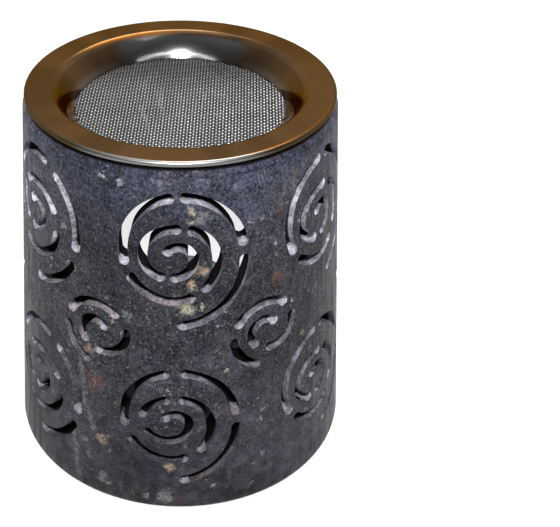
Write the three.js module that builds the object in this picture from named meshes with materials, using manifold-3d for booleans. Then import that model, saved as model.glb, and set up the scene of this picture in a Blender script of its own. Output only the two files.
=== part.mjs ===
// Incense warmer: a carved stone cone with a loose sieve on top and a tealight inside.
// Millimetres, +Z up. The base stands on z = 0 and the arch for the tealight faces +Y.
// Round the cone, an angle is measured from -Y towards +X, in degrees.

import * as THREE from 'three';
import { mergeVertices } from 'three/addons/utils/BufferGeometryUtils.js';
import loadManifold from 'manifold-3d';

const manifold = await loadManifold();
manifold.setup();

// Driving dimensions

const SEAT_GAP = 0.3; // between pieces that rest on or in each other
const ROUND_STEPS = 48; // facets of a full turn
const SMALL_STEPS = 32; // facets of a full turn on the tealight

// Stone
const STONE_HEIGHT = 113.9;
const FOOT_RADIUS = 52.4;
const TOP_RADIUS = 44.2;
const RIM_WALL = 5.2; // wall of the bore at the rim
const FLOOR_HEIGHT = 16.5;
const FOOT_ROUNDING = 2;
const RIM_CHAMFER = 0.9;

// Arch for the tealight, over the floor
const ARCH_HEIGHT = 47;
const ARCH_SPRING = 27.5; // height of its straight sides
const ARCH_WIDTH_AT_SPRING = 58;
const ARCH_WIDTH_AT_FLOOR = 65;

// Carved spirals
const SLOT_WIDTH = 2.8;
const ARCH_SLOT_WIDTH = 2.2; // the finer spiral over the arch
const ARCH_SPIRAL_RISE = 1.5; // of its centre, above the middle between the arch and the rim
const UPPER_ROW_DROP = 24.5; // centres of the upper row, below the rim
const LOWER_ROW_RISE = 33.5; // centres of the lower row, above the base
const MIDDLE_ROW_SHARE = 0.485; // place of the small spirals, from the lower row to the upper row
const STEP_ALONG_SLOT = 25; // degrees along the spiral
const CUT_OVERRUN = 2; // of a cutter, past both faces of the wall
const CUT_LEAN = 0.5; // how far a cut turns from its spiral's middle to face its own place on the cone
const ROW_WANDER = 1; // how far a hand-carved spiral strays from its row
const ARCH_LAND = 1.5; // stone left between the arch and the slots beside it
const FLATNESS = 0.01; // points that stray less than this from a flat face are dropped

// Sieve
const SHEET = 0.6; // thickness of the sheet metal
const RIM_INSET = 0.4; // of the sieve's edge, inside the rim of the stone
const ROLLED_EDGE_RADIUS = 0.9;
const FLANGE_WIDTH = 9; // from the edge to the funnel's mouth
const FUNNEL_MOUTH_ROUNDING = 2;
const FUNNEL_DEPTH = 6.4;
const FUNNEL_RUN = 5; // how far the funnel narrows
const FOOT_LIP_WIDTH = 1.7; // flat foot of the funnel, on the wire disc
const NET_THICKNESS = 0.6;
const NET_PITCH = 4.2;
const NET_BAR = 0.8;

// Tealight
const CUP_RADIUS = 19.3;
const CUP_HEIGHT = 23;
const CUP_WALL = 1.5;
const CUP_BASE = 5;
const CUP_FOOT_ROUNDING = 2.4;
const CUP_OFFSET = 6; // of the cup's centre, towards the arch
const WAX_FREEBOARD = 3.5; // wax surface below the cup's rim
const WICK_RADIUS = 0.8;
const WICK_EXPOSED = 8;
const SUSTAINER_RADIUS = 6;
const SUSTAINER_SHEET = 0.4;
const SUSTAINER_COLLAR = 3.5; // height of the collar round the wick

// Sizes that follow from them

const BORE_RADIUS = TOP_RADIUS - RIM_WALL;
const SIEVE_RADIUS = TOP_RADIUS - RIM_INSET;
const FLANGE_TOP = STONE_HEIGHT + SEAT_GAP + 2 * ROLLED_EDGE_RADIUS;
const MOUTH_RADIUS = SIEVE_RADIUS - FLANGE_WIDTH;
const MESH_RADIUS = MOUTH_RADIUS - FUNNEL_RUN;
const FUNNEL_BOTTOM = FLANGE_TOP - FUNNEL_DEPTH;
const FUNNEL_NORMAL = 90 + THREE.MathUtils.radToDeg(Math.atan2(FUNNEL_DEPTH, FUNNEL_RUN));
const NET_TOP = FUNNEL_BOTTOM - SEAT_GAP;
const NET_BOTTOM = NET_TOP - NET_THICKNESS;
const CUP_BOTTOM = FLOOR_HEIGHT + SEAT_GAP;
const WAX_BOTTOM = CUP_BOTTOM + CUP_BASE + SEAT_GAP;
const WAX_TOP = CUP_BOTTOM + CUP_HEIGHT - WAX_FREEBOARD;

// The spirals as carved: the radius at each quarter turn, from the tail at the bottom inwards.
const LARGE_SPIRAL = [21.5, 18.3, 17.8, 14.7, 13.5, 10.6, 8.6, 9.3, 6, 4.2, 3.2, 3.2];
const ARCH_SPIRAL = [17, 14.2, 14, 12.9, 10.2, 8, 7.1, 7.2, 3.4, 2];
const SMALL_SPIRAL = [11, 10.2, 9.6, 8.8, 5.8, 5.1, 4, 2.7];

// Where each slot of a spiral starts and ends, in degrees along its turns. The tail is at -90.
const FRONT_UPPER_SLOTS = [[-90, -3], [6, 88], [93, 194], [205, 292], [302, 433], [443, 604], [613, 888]];
const FRONT_LOWER_SLOTS = [[-86, -6], [3, 84], [95, 191], [206, 288], [303, 442], [459, 532], [557, 888]];
const LEFT_SLOTS = [
  [-88, -29], [-17, 58], [70, 150], [164, 222], [238, 348], [375, 500], [515, 590], [606, 885],
];
const RIGHT_SLOTS = [[-80, -6], [8, 84], [92, 210], [221, 302], [318, 420], [434, 609], [625, 885]];
const BACK_SLOTS = [[-88, -5], [10, 73], [82, 174], [189, 288], [303, 432], [446, 600], [615, 885]];
const ARCH_SLOTS = [
  [-89, -2], [14, 101], [108, 157], [163, 185], [196, 295], [311, 398], [420, 500], [518, 675],
];
const SMALL_SLOTS = [[-78, 0], [20, 135], [160, 276], [306, 515]];

// The rows of spirals shrink together where a smaller stone has no room for them.
const LARGE_REACH = LARGE_SPIRAL[0] + SLOT_WIDTH;
const ROWS_NEED = 2 * LARGE_REACH;
const ROUND_NEED = 6 * (LARGE_SPIRAL[1] + LARGE_SPIRAL[3] + 2 * SLOT_WIDTH);
const UPPER_ROW = STONE_HEIGHT - UPPER_ROW_DROP;
const MIDDLE_ROW = THREE.MathUtils.lerp(LOWER_ROW_RISE, UPPER_ROW, MIDDLE_ROW_SHARE);
const ARCH_TOP = FLOOR_HEIGHT + ARCH_HEIGHT;
const ARCH_ROW = (ARCH_TOP + STONE_HEIGHT) / 2 + ARCH_SPIRAL_RISE;
const FIT = Math.min(1, (UPPER_ROW - LOWER_ROW_RISE) / ROWS_NEED, (2 * Math.PI * TOP_RADIUS) / ROUND_NEED);
const ARCH_NEED = 2 * (ARCH_SPIRAL[0] + ARCH_SLOT_WIDTH + ARCH_SPIRAL_RISE);
const ARCH_FIT = Math.min(FIT, (STONE_HEIGHT - ARCH_TOP) / ARCH_NEED);

// The lower row shares out the way round the cone from one side of the arch to the other.
const LOWER_RADIUS = coneRadius(LOWER_ROW_RISE);
const ARCH_TURN = THREE.MathUtils.radToDeg(Math.asin(ARCH_WIDTH_AT_FLOOR / 2 / LOWER_RADIUS));
const LOWER_SPAN = 180 - ARCH_TURN; // degrees from the front to the arch
const BESIDE_ARCH = 0.825; // place of the spirals next to the arch, as a share of that
const ARCH_SIDE_ROOM = THREE.MathUtils.degToRad((1 - BESIDE_ARCH) * LOWER_SPAN) * LOWER_RADIUS;
const LOWER_FIT = Math.min(FIT, ARCH_SIDE_ROOM / (LARGE_SPIRAL[1] + SLOT_WIDTH / 2 + ARCH_LAND));

// Where the spirals are, round the cone
const large = (angle, height, slots) => ({ angle, height, slots, radii: LARGE_SPIRAL, size: FIT });
const lower = (share, height, slots) => ({
  angle: share * LOWER_SPAN,
  height,
  slots,
  radii: LARGE_SPIRAL,
  size: LOWER_FIT,
});
const small = (angle, height) => ({
  angle,
  height,
  slots: SMALL_SLOTS,
  radii: SMALL_SPIRAL,
  size: FIT,
  mirrored: true,
});
const overArch = (angle, height) => ({
  angle,
  height,
  slots: ARCH_SLOTS,
  radii: ARCH_SPIRAL,
  size: ARCH_FIT,
  width: ARCH_SLOT_WIDTH,
});
const SPIRALS = [
  large(-1, UPPER_ROW - ROW_WANDER, FRONT_UPPER_SLOTS),
  large(-60.5, UPPER_ROW, LEFT_SLOTS),
  large(58, UPPER_ROW - ROW_WANDER / 2, RIGHT_SLOTS),
  large(-122, UPPER_ROW + ROW_WANDER, BACK_SLOTS),
  large(122, UPPER_ROW + ROW_WANDER, RIGHT_SLOTS),
  overArch(178.5, ARCH_ROW),
  lower(-0.0143, LOWER_ROW_RISE - ROW_WANDER / 2, FRONT_LOWER_SLOTS),
  lower(-0.416, LOWER_ROW_RISE, LEFT_SLOTS),
  lower(0.394, LOWER_ROW_RISE, RIGHT_SLOTS),
  lower(-BESIDE_ARCH, LOWER_ROW_RISE + 2 * ROW_WANDER, RIGHT_SLOTS),
  lower(BESIDE_ARCH, LOWER_ROW_RISE + 2 * ROW_WANDER, LEFT_SLOTS),
  small(-29, MIDDLE_ROW),
  small(30.5, MIDDLE_ROW),
  small(-90, MIDDLE_ROW + 2 * ROW_WANDER),
  small(90, MIDDLE_ROW + 2 * ROW_WANDER),
];

// Materials

const stone = new THREE.MeshStandardMaterial({ color: 0x46464e, roughness: 0.45, metalness: 0 });
const bronzedSteel = new THREE.MeshStandardMaterial({ color: 0x8a6a42, roughness: 0.3, metalness: 1 });
const steel = new THREE.MeshStandardMaterial({ color: 0xb9bcb8, roughness: 0.3, metalness: 1 });
const glass = new THREE.MeshStandardMaterial({ color: 0xdfe9ea, roughness: 0.05, metalness: 0 });
const wax = new THREE.MeshStandardMaterial({ color: 0xf1efe8, roughness: 0.5, metalness: 0 });
const cotton = new THREE.MeshStandardMaterial({ color: 0xe6e0d2, roughness: 0.9, metalness: 0 });

// Helpers

/** A closed geometry as a solid that can be joined and cut. */
function toSolid(geometry) {
  geometry.deleteAttribute('normal');
  geometry.deleteAttribute('uv');
  const welded = mergeVertices(geometry, 1e-4);
  const corners = [];
  for (let i = 0; i < welded.index.count; i += 3) {
    const [a, b, c] = [0, 1, 2].map((k) => welded.index.getX(i + k));
    if (a !== b && b !== c && c !== a) corners.push(a, b, c);
  }
  const vertProperties = new Float32Array(welded.attributes.position.array);
  const triVerts = new Uint32Array(corners);
  return new manifold.Manifold(new manifold.Mesh({ numProp: 3, vertProperties, triVerts }));
}

function toGeometry(solid) {
  const mesh = solid.getMesh();
  const geometry = new THREE.BufferGeometry();
  geometry.setAttribute('position', new THREE.BufferAttribute(mesh.vertProperties, 3));
  geometry.setIndex(new THREE.BufferAttribute(mesh.triVerts, 1));
  geometry.computeVertexNormals();
  return geometry;
}

/** A turned piece: [radius, height] points from the axis round the outside, or round a closed loop. */
function turned(points, steps) {
  const profile = points.map(([radius, height]) => new THREE.Vector2(radius, height));
  return new THREE.LatheGeometry(profile, steps).rotateX(Math.PI / 2);
}

/** Points of an arc in a profile, from one angle to another, in degrees. */
function arc(radius, height, size, from, to, steps) {
  const points = [];
  for (let i = 0; i <= steps; i += 1) {
    const angle = THREE.MathUtils.degToRad(THREE.MathUtils.lerp(from, to, i / steps));
    points.push([radius + size * Math.cos(angle), height + size * Math.sin(angle)]);
  }
  return points;
}

function part(name, geometry, material) {
  const mesh = new THREE.Mesh(geometry, material);
  mesh.name = name;
  return mesh;
}

// Stone

function coneRadius(height) {
  return THREE.MathUtils.lerp(FOOT_RADIUS, TOP_RADIUS, height / STONE_HEIGHT);
}

function blank() {
  const footRadius = coneRadius(FOOT_ROUNDING) - FOOT_ROUNDING;
  const points = [
    [0, 0],
    ...arc(footRadius, FOOT_ROUNDING, FOOT_ROUNDING, -90, 0, 3),
    [coneRadius(STONE_HEIGHT - RIM_CHAMFER), STONE_HEIGHT - RIM_CHAMFER],
    [TOP_RADIUS - RIM_CHAMFER, STONE_HEIGHT],
    [0, STONE_HEIGHT],
  ];
  return toSolid(turned(points, ROUND_STEPS));
}

function bore() {
  const points = [
    [0, FLOOR_HEIGHT],
    [BORE_RADIUS, FLOOR_HEIGHT],
    [BORE_RADIUS, STONE_HEIGHT + 1],
    [0, STONE_HEIGHT + 1],
  ];
  return toSolid(turned(points, ROUND_STEPS));
}

function archway() {
  const halfWidth = ARCH_WIDTH_AT_SPRING / 2;
  const outline = new THREE.Shape();
  outline.moveTo(-ARCH_WIDTH_AT_FLOOR / 2, 0);
  outline.lineTo(ARCH_WIDTH_AT_FLOOR / 2, 0);
  outline.lineTo(halfWidth, ARCH_SPRING);
  outline.absellipse(0, ARCH_SPRING, halfWidth, ARCH_HEIGHT - ARCH_SPRING, 0, Math.PI);
  const geometry = new THREE.ExtrudeGeometry(outline, {
    depth: FOOT_RADIUS + 1,
    bevelEnabled: false,
    curveSegments: 12,
  });
  geometry.rotateX(Math.PI / 2).rotateZ(Math.PI).translate(0, 0, FLOOR_HEIGHT);
  return toSolid(geometry);
}

/** The radius of a spiral after some degrees along its turns. */
function spiralRadius(radii, degrees) {
  const spline = new THREE.SplineCurve(radii.map((radius, quarter) => new THREE.Vector2(quarter, radius)));
  const share = (degrees + 90) / 90 / (radii.length - 1);
  return spline.getPoint(THREE.MathUtils.clamp(share, 0, 1)).y;
}

/** The flat outline of one slot: a band along the spiral with round ends. */
function slotOutline(spiral, [from, to]) {
  const { radii, size, width = SLOT_WIDTH, mirrored = false } = spiral;
  const half = (size * width) / 2;
  const pointAt = (degrees) => {
    const angle = THREE.MathUtils.degToRad(degrees);
    const radius = size * spiralRadius(radii, degrees);
    return new THREE.Vector2(radius * Math.cos(angle), radius * Math.sin(angle));
  };
  const first = from + THREE.MathUtils.radToDeg(half / pointAt(from).length());
  const last = to - THREE.MathUtils.radToDeg(half / pointAt(to).length());
  const steps = Math.ceil((last - first) / STEP_ALONG_SLOT);
  const middle = [];
  for (let i = 0; i <= steps; i += 1) middle.push(pointAt(THREE.MathUtils.lerp(first, last, i / steps)));
  const sideways = middle.map((_, i) => {
    const along = middle[Math.min(i + 1, steps)].clone().sub(middle[Math.max(i - 1, 0)]);
    return along.setLength(half).rotateAround(new THREE.Vector2(), -Math.PI / 2);
  });
  const outer = middle.map((point, i) => point.clone().add(sideways[i]));
  const inner = middle.map((point, i) => point.clone().sub(sideways[i])).reverse();
  const roundEnd = (centre, corner) =>
    [Math.PI / 3, (2 * Math.PI) / 3].map((turn) => corner.clone().rotateAround(centre, turn));
  const outline = [
    ...outer,
    ...roundEnd(middle[steps], outer[steps]),
    ...inner,
    ...roundEnd(middle[0], inner[steps]),
  ];
  return mirrored ? outline.map(({ x, y }) => new THREE.Vector2(-x, y)) : outline;
}

/** One slot as a cutter: its outline laid round the cone, then run straight through the wall. */
function slotCutter(spiral, slot) {
  const outline = slotOutline(spiral, slot);
  const turnAt = (x) => THREE.MathUtils.degToRad(spiral.angle) + x / coneRadius(spiral.height);
  const reach = outline.map(({ x }) => x);
  const middle = turnAt((CUT_LEAN * (Math.min(...reach) + Math.max(...reach))) / 2);
  const outwards = new THREE.Vector3(Math.sin(middle), -Math.cos(middle), 0);
  const geometry = new THREE.ExtrudeGeometry(new THREE.Shape(outline), { depth: 1, bevelEnabled: false });
  const position = geometry.attributes.position;
  const point = new THREE.Vector3();
  for (let i = 0; i < position.count; i += 1) {
    const turn = turnAt(position.getX(i));
    const height = spiral.height + position.getY(i);
    const radius = coneRadius(height);
    const run = position.getZ(i) > 0.5 ? CUT_OVERRUN : BORE_RADIUS - radius - CUT_OVERRUN;
    point.set(radius * Math.sin(turn), -radius * Math.cos(turn), height).addScaledVector(outwards, run);
    position.setXYZ(i, point.x, point.y, point.z);
  }
  return toSolid(geometry);
}

function stoneBody() {
  const cutters = SPIRALS.flatMap((spiral) => spiral.slots.map((slot) => slotCutter(spiral, slot)));
  const hollow = bore().add(archway());
  const carved = blank().subtract(hollow).subtract(manifold.Manifold.union(cutters));
  return part('stone_body', toGeometry(carved.asOriginal().simplify(FLATNESS)), stone);
}

// Sieve

function sieveRing() {
  const edgeRadius = SIEVE_RADIUS - ROLLED_EDGE_RADIUS;
  const mouthCentre = MOUTH_RADIUS + FUNNEL_MOUTH_ROUNDING;
  const roundingHeight = FLANGE_TOP - FUNNEL_MOUTH_ROUNDING;
  const under = FUNNEL_MOUTH_ROUNDING - SHEET;
  const points = [
    ...arc(edgeRadius, FLANGE_TOP - ROLLED_EDGE_RADIUS, ROLLED_EDGE_RADIUS, 90, -90, 5),
    [edgeRadius - ROLLED_EDGE_RADIUS, FLANGE_TOP - SHEET],
    ...arc(mouthCentre, roundingHeight, under, 90, FUNNEL_NORMAL, 2),
    [MESH_RADIUS + SHEET, FUNNEL_BOTTOM + SHEET],
    [MESH_RADIUS + FOOT_LIP_WIDTH, FUNNEL_BOTTOM + SHEET],
    [MESH_RADIUS + FOOT_LIP_WIDTH, FUNNEL_BOTTOM],
    [MESH_RADIUS, FUNNEL_BOTTOM],
    ...arc(mouthCentre, roundingHeight, FUNNEL_MOUTH_ROUNDING, FUNNEL_NORMAL, 90, 3),
  ];
  return part('sieve_ring', turned([...points, points[0]].reverse(), ROUND_STEPS), bronzedSteel);
}

function sieveMesh() {
  const netRadius = MESH_RADIUS + FOOT_LIP_WIDTH - SEAT_GAP;
  const open = MESH_RADIUS - NET_BAR;
  const hole = NET_PITCH - NET_BAR;
  const disc = (radius, height, bottom) =>
    toSolid(new THREE.CylinderGeometry(radius, radius, height, ROUND_STEPS).rotateX(Math.PI / 2))
      .translate(0, 0, bottom + height / 2);
  const holes = [];
  const reach = Math.ceil(open / NET_PITCH);
  for (let column = -reach; column <= reach; column += 1) {
    for (let row = -reach; row <= reach; row += 1) {
      const [x, y] = [column * NET_PITCH, row * NET_PITCH];
      if (Math.hypot(x, y) > open) continue;
      const box = new THREE.BoxGeometry(hole, hole, 3 * NET_THICKNESS);
      holes.push(toSolid(box.translate(x, y, NET_BOTTOM)));
    }
  }
  const cutters = manifold.Manifold.union(holes).intersect(disc(open, 4 * NET_THICKNESS, NET_BOTTOM - 1));
  const net = disc(netRadius, NET_THICKNESS, NET_BOTTOM).subtract(cutters);
  return part('sieve_mesh', toGeometry(net.asOriginal().simplify(FLATNESS)), steel);
}

function meshClampRing() {
  const inside = MESH_RADIUS + FOOT_LIP_WIDTH + SEAT_GAP;
  const plateTop = NET_BOTTOM - SEAT_GAP;
  const crimp = FUNNEL_BOTTOM + SHEET;
  const points = [
    [MESH_RADIUS, plateTop - SHEET],
    [inside + SHEET, plateTop - SHEET],
    [inside + SHEET, crimp],
    [inside, crimp],
    [inside, plateTop],
    [MESH_RADIUS, plateTop],
  ];
  return part('mesh_clamp_ring', turned([...points, points[0]], ROUND_STEPS), steel);
}

// Tealight, about its own axis

function tealightCup() {
  const top = CUP_BOTTOM + CUP_HEIGHT;
  const inside = CUP_RADIUS - CUP_WALL;
  const floor = CUP_BOTTOM + CUP_BASE;
  const rim = CUP_WALL / 2;
  const points = [
    [0, CUP_BOTTOM],
    ...arc(CUP_RADIUS - CUP_FOOT_ROUNDING, CUP_BOTTOM + CUP_FOOT_ROUNDING, CUP_FOOT_ROUNDING, -90, 0, 4),
    ...arc(inside + rim, top - rim, rim, 0, 180, 4),
    [inside, floor],
    [0, floor],
  ];
  return part('tealight_cup', turned(points, SMALL_STEPS), glass);
}

function tealightWax() {
  const radius = CUP_RADIUS - CUP_WALL - SEAT_GAP;
  const wickBore = WICK_RADIUS + SEAT_GAP;
  const discTop = WAX_BOTTOM + SUSTAINER_SHEET + SEAT_GAP;
  const collarTop = WAX_BOTTOM + SUSTAINER_COLLAR + SEAT_GAP;
  const collarBore = WICK_RADIUS + SUSTAINER_SHEET + 2 * SEAT_GAP;
  const points = [
    [SUSTAINER_RADIUS + SEAT_GAP, WAX_BOTTOM],
    [radius, WAX_BOTTOM],
    [radius, WAX_TOP],
    [wickBore, WAX_TOP],
    [wickBore, collarTop],
    [collarBore, collarTop],
    [collarBore, discTop],
    [SUSTAINER_RADIUS + SEAT_GAP, discTop],
  ];
  return part('tealight_wax', turned([...points, points[0]], SMALL_STEPS), wax);
}

function tealightWick() {
  const bottom = WAX_BOTTOM + SUSTAINER_SHEET + SEAT_GAP;
  const length = WAX_TOP + WICK_EXPOSED - bottom;
  const geometry = new THREE.CylinderGeometry(WICK_RADIUS, WICK_RADIUS, length, 8).rotateX(Math.PI / 2);
  return part('tealight_wick', geometry.translate(0, 0, bottom + length / 2), cotton);
}

function wickSustainer() {
  const bore = WICK_RADIUS + SEAT_GAP;
  const collar = bore + SUSTAINER_SHEET - SEAT_GAP / 3;
  const points = [
    [0, WAX_BOTTOM],
    [SUSTAINER_RADIUS, WAX_BOTTOM],
    [SUSTAINER_RADIUS, WAX_BOTTOM + SUSTAINER_SHEET],
    [collar, WAX_BOTTOM + SUSTAINER_SHEET],
    [collar, WAX_BOTTOM + SUSTAINER_COLLAR],
    [bore, WAX_BOTTOM + SUSTAINER_COLLAR],
    [bore, WAX_BOTTOM + SUSTAINER_SHEET],
    [0, WAX_BOTTOM + SUSTAINER_SHEET],
  ];
  return part('wick_sustainer', turned(points, 16), steel);
}

// Assembly

const sieve = new THREE.Group();
sieve.add(sieveRing(), sieveMesh(), meshClampRing());

const tealight = new THREE.Group();
tealight.add(tealightCup(), tealightWax(), tealightWick(), wickSustainer());
tealight.position.y = CUP_OFFSET;

const warmer = new THREE.Group();
warmer.add(stoneBody(), sieve, tealight);

export default warmer;
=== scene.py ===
# %% [markdown]
# # A carved incense warmer
# The warmer is one soapstone cone, cut through with broken spirals, with a loose wire sieve on top and a
# tealight behind an arch at the back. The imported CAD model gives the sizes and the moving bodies.
# We load it first as a fixed frame, in metres, and then build what the eye sees on the same axes.

# %% Load the CAD model as the frame
import math
from functools import partial

import bmesh
import bpy
from mathutils import Matrix, Vector


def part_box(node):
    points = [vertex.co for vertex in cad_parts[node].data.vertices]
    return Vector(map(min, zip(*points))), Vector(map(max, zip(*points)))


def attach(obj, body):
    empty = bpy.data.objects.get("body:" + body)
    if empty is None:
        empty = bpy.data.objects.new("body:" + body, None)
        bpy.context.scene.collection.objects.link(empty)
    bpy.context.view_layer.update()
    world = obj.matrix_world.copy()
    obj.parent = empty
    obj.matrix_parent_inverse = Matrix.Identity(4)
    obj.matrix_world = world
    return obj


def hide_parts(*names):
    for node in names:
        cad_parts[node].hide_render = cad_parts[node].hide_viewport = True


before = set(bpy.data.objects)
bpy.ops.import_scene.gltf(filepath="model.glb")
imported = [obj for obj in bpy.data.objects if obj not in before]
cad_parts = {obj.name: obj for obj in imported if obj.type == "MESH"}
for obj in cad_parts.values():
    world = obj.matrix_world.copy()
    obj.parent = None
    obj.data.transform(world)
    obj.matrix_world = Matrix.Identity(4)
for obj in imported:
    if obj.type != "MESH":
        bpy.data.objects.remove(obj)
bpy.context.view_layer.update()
scene = bpy.context.scene
MM = 0.001

# %% [markdown]
# ## The camera
# The photograph shows two views side by side. The left one is complete, so the camera stands where that
# picture was taken: in front, looking down about 35 degrees, with a long lens. The warmer sits left of
# the middle, which the lens shift takes care of, so no line of the cone is bent by turning the camera.

# %% Place the camera
LENS = 74.08
SENSOR = 36
SHIFT = 0.178
EYE = (0, -0.292335, 0.262804)
TILT = math.radians(54.4496)

camera_data = bpy.data.cameras.new("camera")
camera_data.lens = LENS
camera_data.sensor_width = SENSOR
camera_data.sensor_fit = "HORIZONTAL"
camera_data.shift_x = SHIFT
camera_data.clip_start = 0.01
camera = bpy.data.objects.new("camera", camera_data)
camera.location = EYE
camera.rotation_euler = (TILT, 0, 0)
scene.collection.objects.link(camera)
scene.camera = camera
scene.view_settings.view_transform = "Standard"
print("camera is", round(camera.location.length, 3), "m from the base")

# %% [markdown]
# ## Node helpers
# Nodes can be added one by one, with a line for every socket, but that hides what a tree does.
# A small helper makes a node, sets its options and feeds its inputs with values or with other sockets.
# The others give names to what the trees below need all the time: sums, ramps, noise and blends.
# A socket knows the tree that it belongs to, so they ask for nothing but the sockets that they work on.

# %% Helpers for node trees
def feed(node, feeds):
    """Fills inputs, by name or number, with values or with other nodes' outputs."""
    for name, value in feeds.items():
        if isinstance(value, bpy.types.NodeSocket):
            node.id_data.links.new(value, node.inputs[name])
        else:
            node.inputs[name].default_value = value


def put(tree, kind, feeds=None, **options):
    node = tree.nodes.new(kind)
    for name, value in options.items():
        setattr(node, name, value)
    feed(node, feeds or {})
    return node


def through(kind, feeds, output=0, **options):
    """Puts a node into the tree of the sockets that feed it, and returns one of its outputs."""
    tree = next(value for value in feeds.values() if isinstance(value, bpy.types.NodeSocket)).id_data
    return put(tree, kind, feeds, **options).outputs[output]


def maths(operation, first, *others):
    """A Math node, or a chain of them where there are more than two values."""
    for other in others or (0.0,):
        first = through("ShaderNodeMath", {0: first, 1: other}, operation=operation)
    return first


def vectors(operation, first, second=(0, 0, 0), output="Vector"):
    return through("ShaderNodeVectorMath", {0: first, 1: second}, output, operation=operation)


times, plus, minus, most = (partial(maths, name) for name in ("MULTIPLY", "ADD", "SUBTRACT", "MAXIMUM"))
measure = partial(vectors, output="Value")


def ramp(value, low, high, start=0.0, end=1.0):
    feeds = {"Value": value, "From Min": low, "From Max": high, "To Min": start, "To Max": end}
    return through("ShaderNodeMapRange", feeds, "Result", interpolation_type="SMOOTHSTEP")


def fade(away, near, far, start=1.0):
    return ramp(away, near, far, start, 0.0)


def noise(place, scale, detail=2.0, roughness=0.5, distortion=0.0, output="Fac"):
    feeds = {"Vector": place, "Scale": scale, "Detail": detail, "Roughness": roughness}
    return through("ShaderNodeTexNoise", {**feeds, "Distortion": distortion}, output)


def blend(amount, first, second, mode="MIX"):
    return through("ShaderNodeMix", {0: amount, 6: first, 7: second}, 2, data_type="RGBA", blend_type=mode)


def tinted(tone, tint):
    return blend(1.0, tone, tint, "MULTIPLY")


def split(vector):
    return put(vector.id_data, "ShaderNodeSeparateXYZ", {0: vector}).outputs


def joined(**parts):
    return through("ShaderNodeCombineXYZ", parts)


def flattened(place):
    return vectors("MULTIPLY", place, (1, 1, 0))


def off_axis(place):
    return measure("LENGTH", flattened(place))


def colour(red, green, blue):
    return (red, green, blue, 1.0)


def grey(value):
    return colour(value, value, value)


print("node helpers ready")

# %% [markdown]
# ## The studio
# The photograph was lit from near the camera, in a dim room: the walls of the slots that face up are
# bright, and the inside is black. So a small strong softbox, the key, stands on the camera's side. Two
# faint strips near it draw its highlight in the funnel out into wings, and two soft lights stand behind.
# The room is dark on the camera's side and pale at the back, and a wide white floor carries the shadow.

# %% Floor, world and lights
def new_material(name):
    material = bpy.data.materials.new(name)
    material.use_nodes = True
    return material, material.node_tree, material.node_tree.nodes["Principled BSDF"]


def new_object(name, mesh):
    piece = bpy.data.objects.new(name, mesh)
    scene.collection.objects.link(piece)
    return piece


def place_floor(half, finish):
    mesh = bpy.data.meshes.new("studio_floor")
    corners = [(-half, -half, 0), (half, -half, 0), (half, half, 0), (-half, half, 0)]
    mesh.from_pydata(corners, [], [(0, 1, 2, 3)])
    mesh.materials.append(finish)
    new_object("studio_floor", mesh)


FLOOR_HALF = 4.0
FLOOR_GLOW = 0.33
floor_finish, tree, shader = new_material("studio_floor")
rays = put(tree, "ShaderNodeLightPath").outputs
seen = most(rays["Is Glossy Ray"], rays["Is Transmission Ray"], rays["Is Camera Ray"])
feed(shader, {"Base Color": grey(0.9), "Roughness": 0.9, "Specular IOR Level": 0.1})
feed(shader, {"Emission Color": grey(1), "Emission Strength": times(seen, FLOOR_GLOW)})
place_floor(FLOOR_HALF, floor_finish)

DARK_ROOM = colour(0.06, 0.058, 0.055)
PALE_ROOM = colour(0.54, 0.555, 0.58)
world = bpy.data.worlds.new("studio")
world.use_nodes = True
scene.world = world
backwards = split(put(world.node_tree, "ShaderNodeTexCoord").outputs["Generated"])["Y"]
room = blend(ramp(backwards, -0.5, 0.75), DARK_ROOM, PALE_ROOM)
feed(world.node_tree.nodes["Background"], {"Color": room})


def softbox(name, place, size, power):
    data = bpy.data.lights.new(name, "AREA")
    data.shape = "RECTANGLE"
    data.size, data.size_y = size
    data.energy = power
    lamp = bpy.data.objects.new(name, data)
    lamp.location = place
    lamp.rotation_euler = (Vector(MIDDLE) - Vector(place)).to_track_quat("-Z", "Y").to_euler()
    scene.collection.objects.link(lamp)


MIDDLE = (0, 0, 0.06)
softbox("key", (-0.005, -0.56, 0.72), (0.07, 0.10), 7.0)
softbox("strip", (0.04, -0.53, 0.755), (0.55, 0.05), 0.05)
softbox("wide_strip", (0.04, -0.53, 0.75), (1.2, 0.06), 0.4)
softbox("top", (0.1, 0.3, 1.1), (0.8, 0.8), 1.5)
softbox("fill", (0.12, 0.50, 0.88), (0.35, 0.35), 1.7)

# %% [markdown]
# ## Soapstone
# Soapstone takes a satin polish: dark blue-grey and clouded, with pale flecks and fine scratches. Where the
# chisel went through, the stone stays raw, paler and dusty.
# Both finishes share one pattern, so it is a node group: it puts out masks, and each material colours them.

# %% The pattern of the stone, as a shader group
def masks_group(name, masks):
    """A shader group that takes a place and gives masks. Returns it, its place and its output node."""
    tree = bpy.data.node_groups.new(name, "ShaderNodeTree")
    tree.interface.new_socket("Place", in_out="INPUT", socket_type="NodeSocketVector")
    for mask in masks:
        tree.interface.new_socket(mask, in_out="OUTPUT", socket_type="NodeSocketFloat")
    return tree, put(tree, "NodeGroupInput").outputs["Place"], put(tree, "NodeGroupOutput")


def own_place(tree):
    return put(tree, "ShaderNodeTexCoord").outputs["Object"]


def use_group(tree, group):
    """The place on a material's own piece, and the masks of a group there."""
    place = own_place(tree)
    return place, put(tree, "ShaderNodeGroup", {"Place": place}, node_tree=group).outputs


def stretched(place, size, turn=(0, 0, 0)):
    """Turned coordinates in which a pattern's features are as large as size along each axis."""
    feeds = {"Vector": place, "Rotation": turn, "Scale": size}
    return through("ShaderNodeMapping", feeds, "Vector", vector_type="TEXTURE")


def streaks(place, turn, length, thin):
    return ramp(noise(stretched(place, (length, thin, thin), turn), 1, 1.5, 0.6), 0.66, 0.74)


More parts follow.
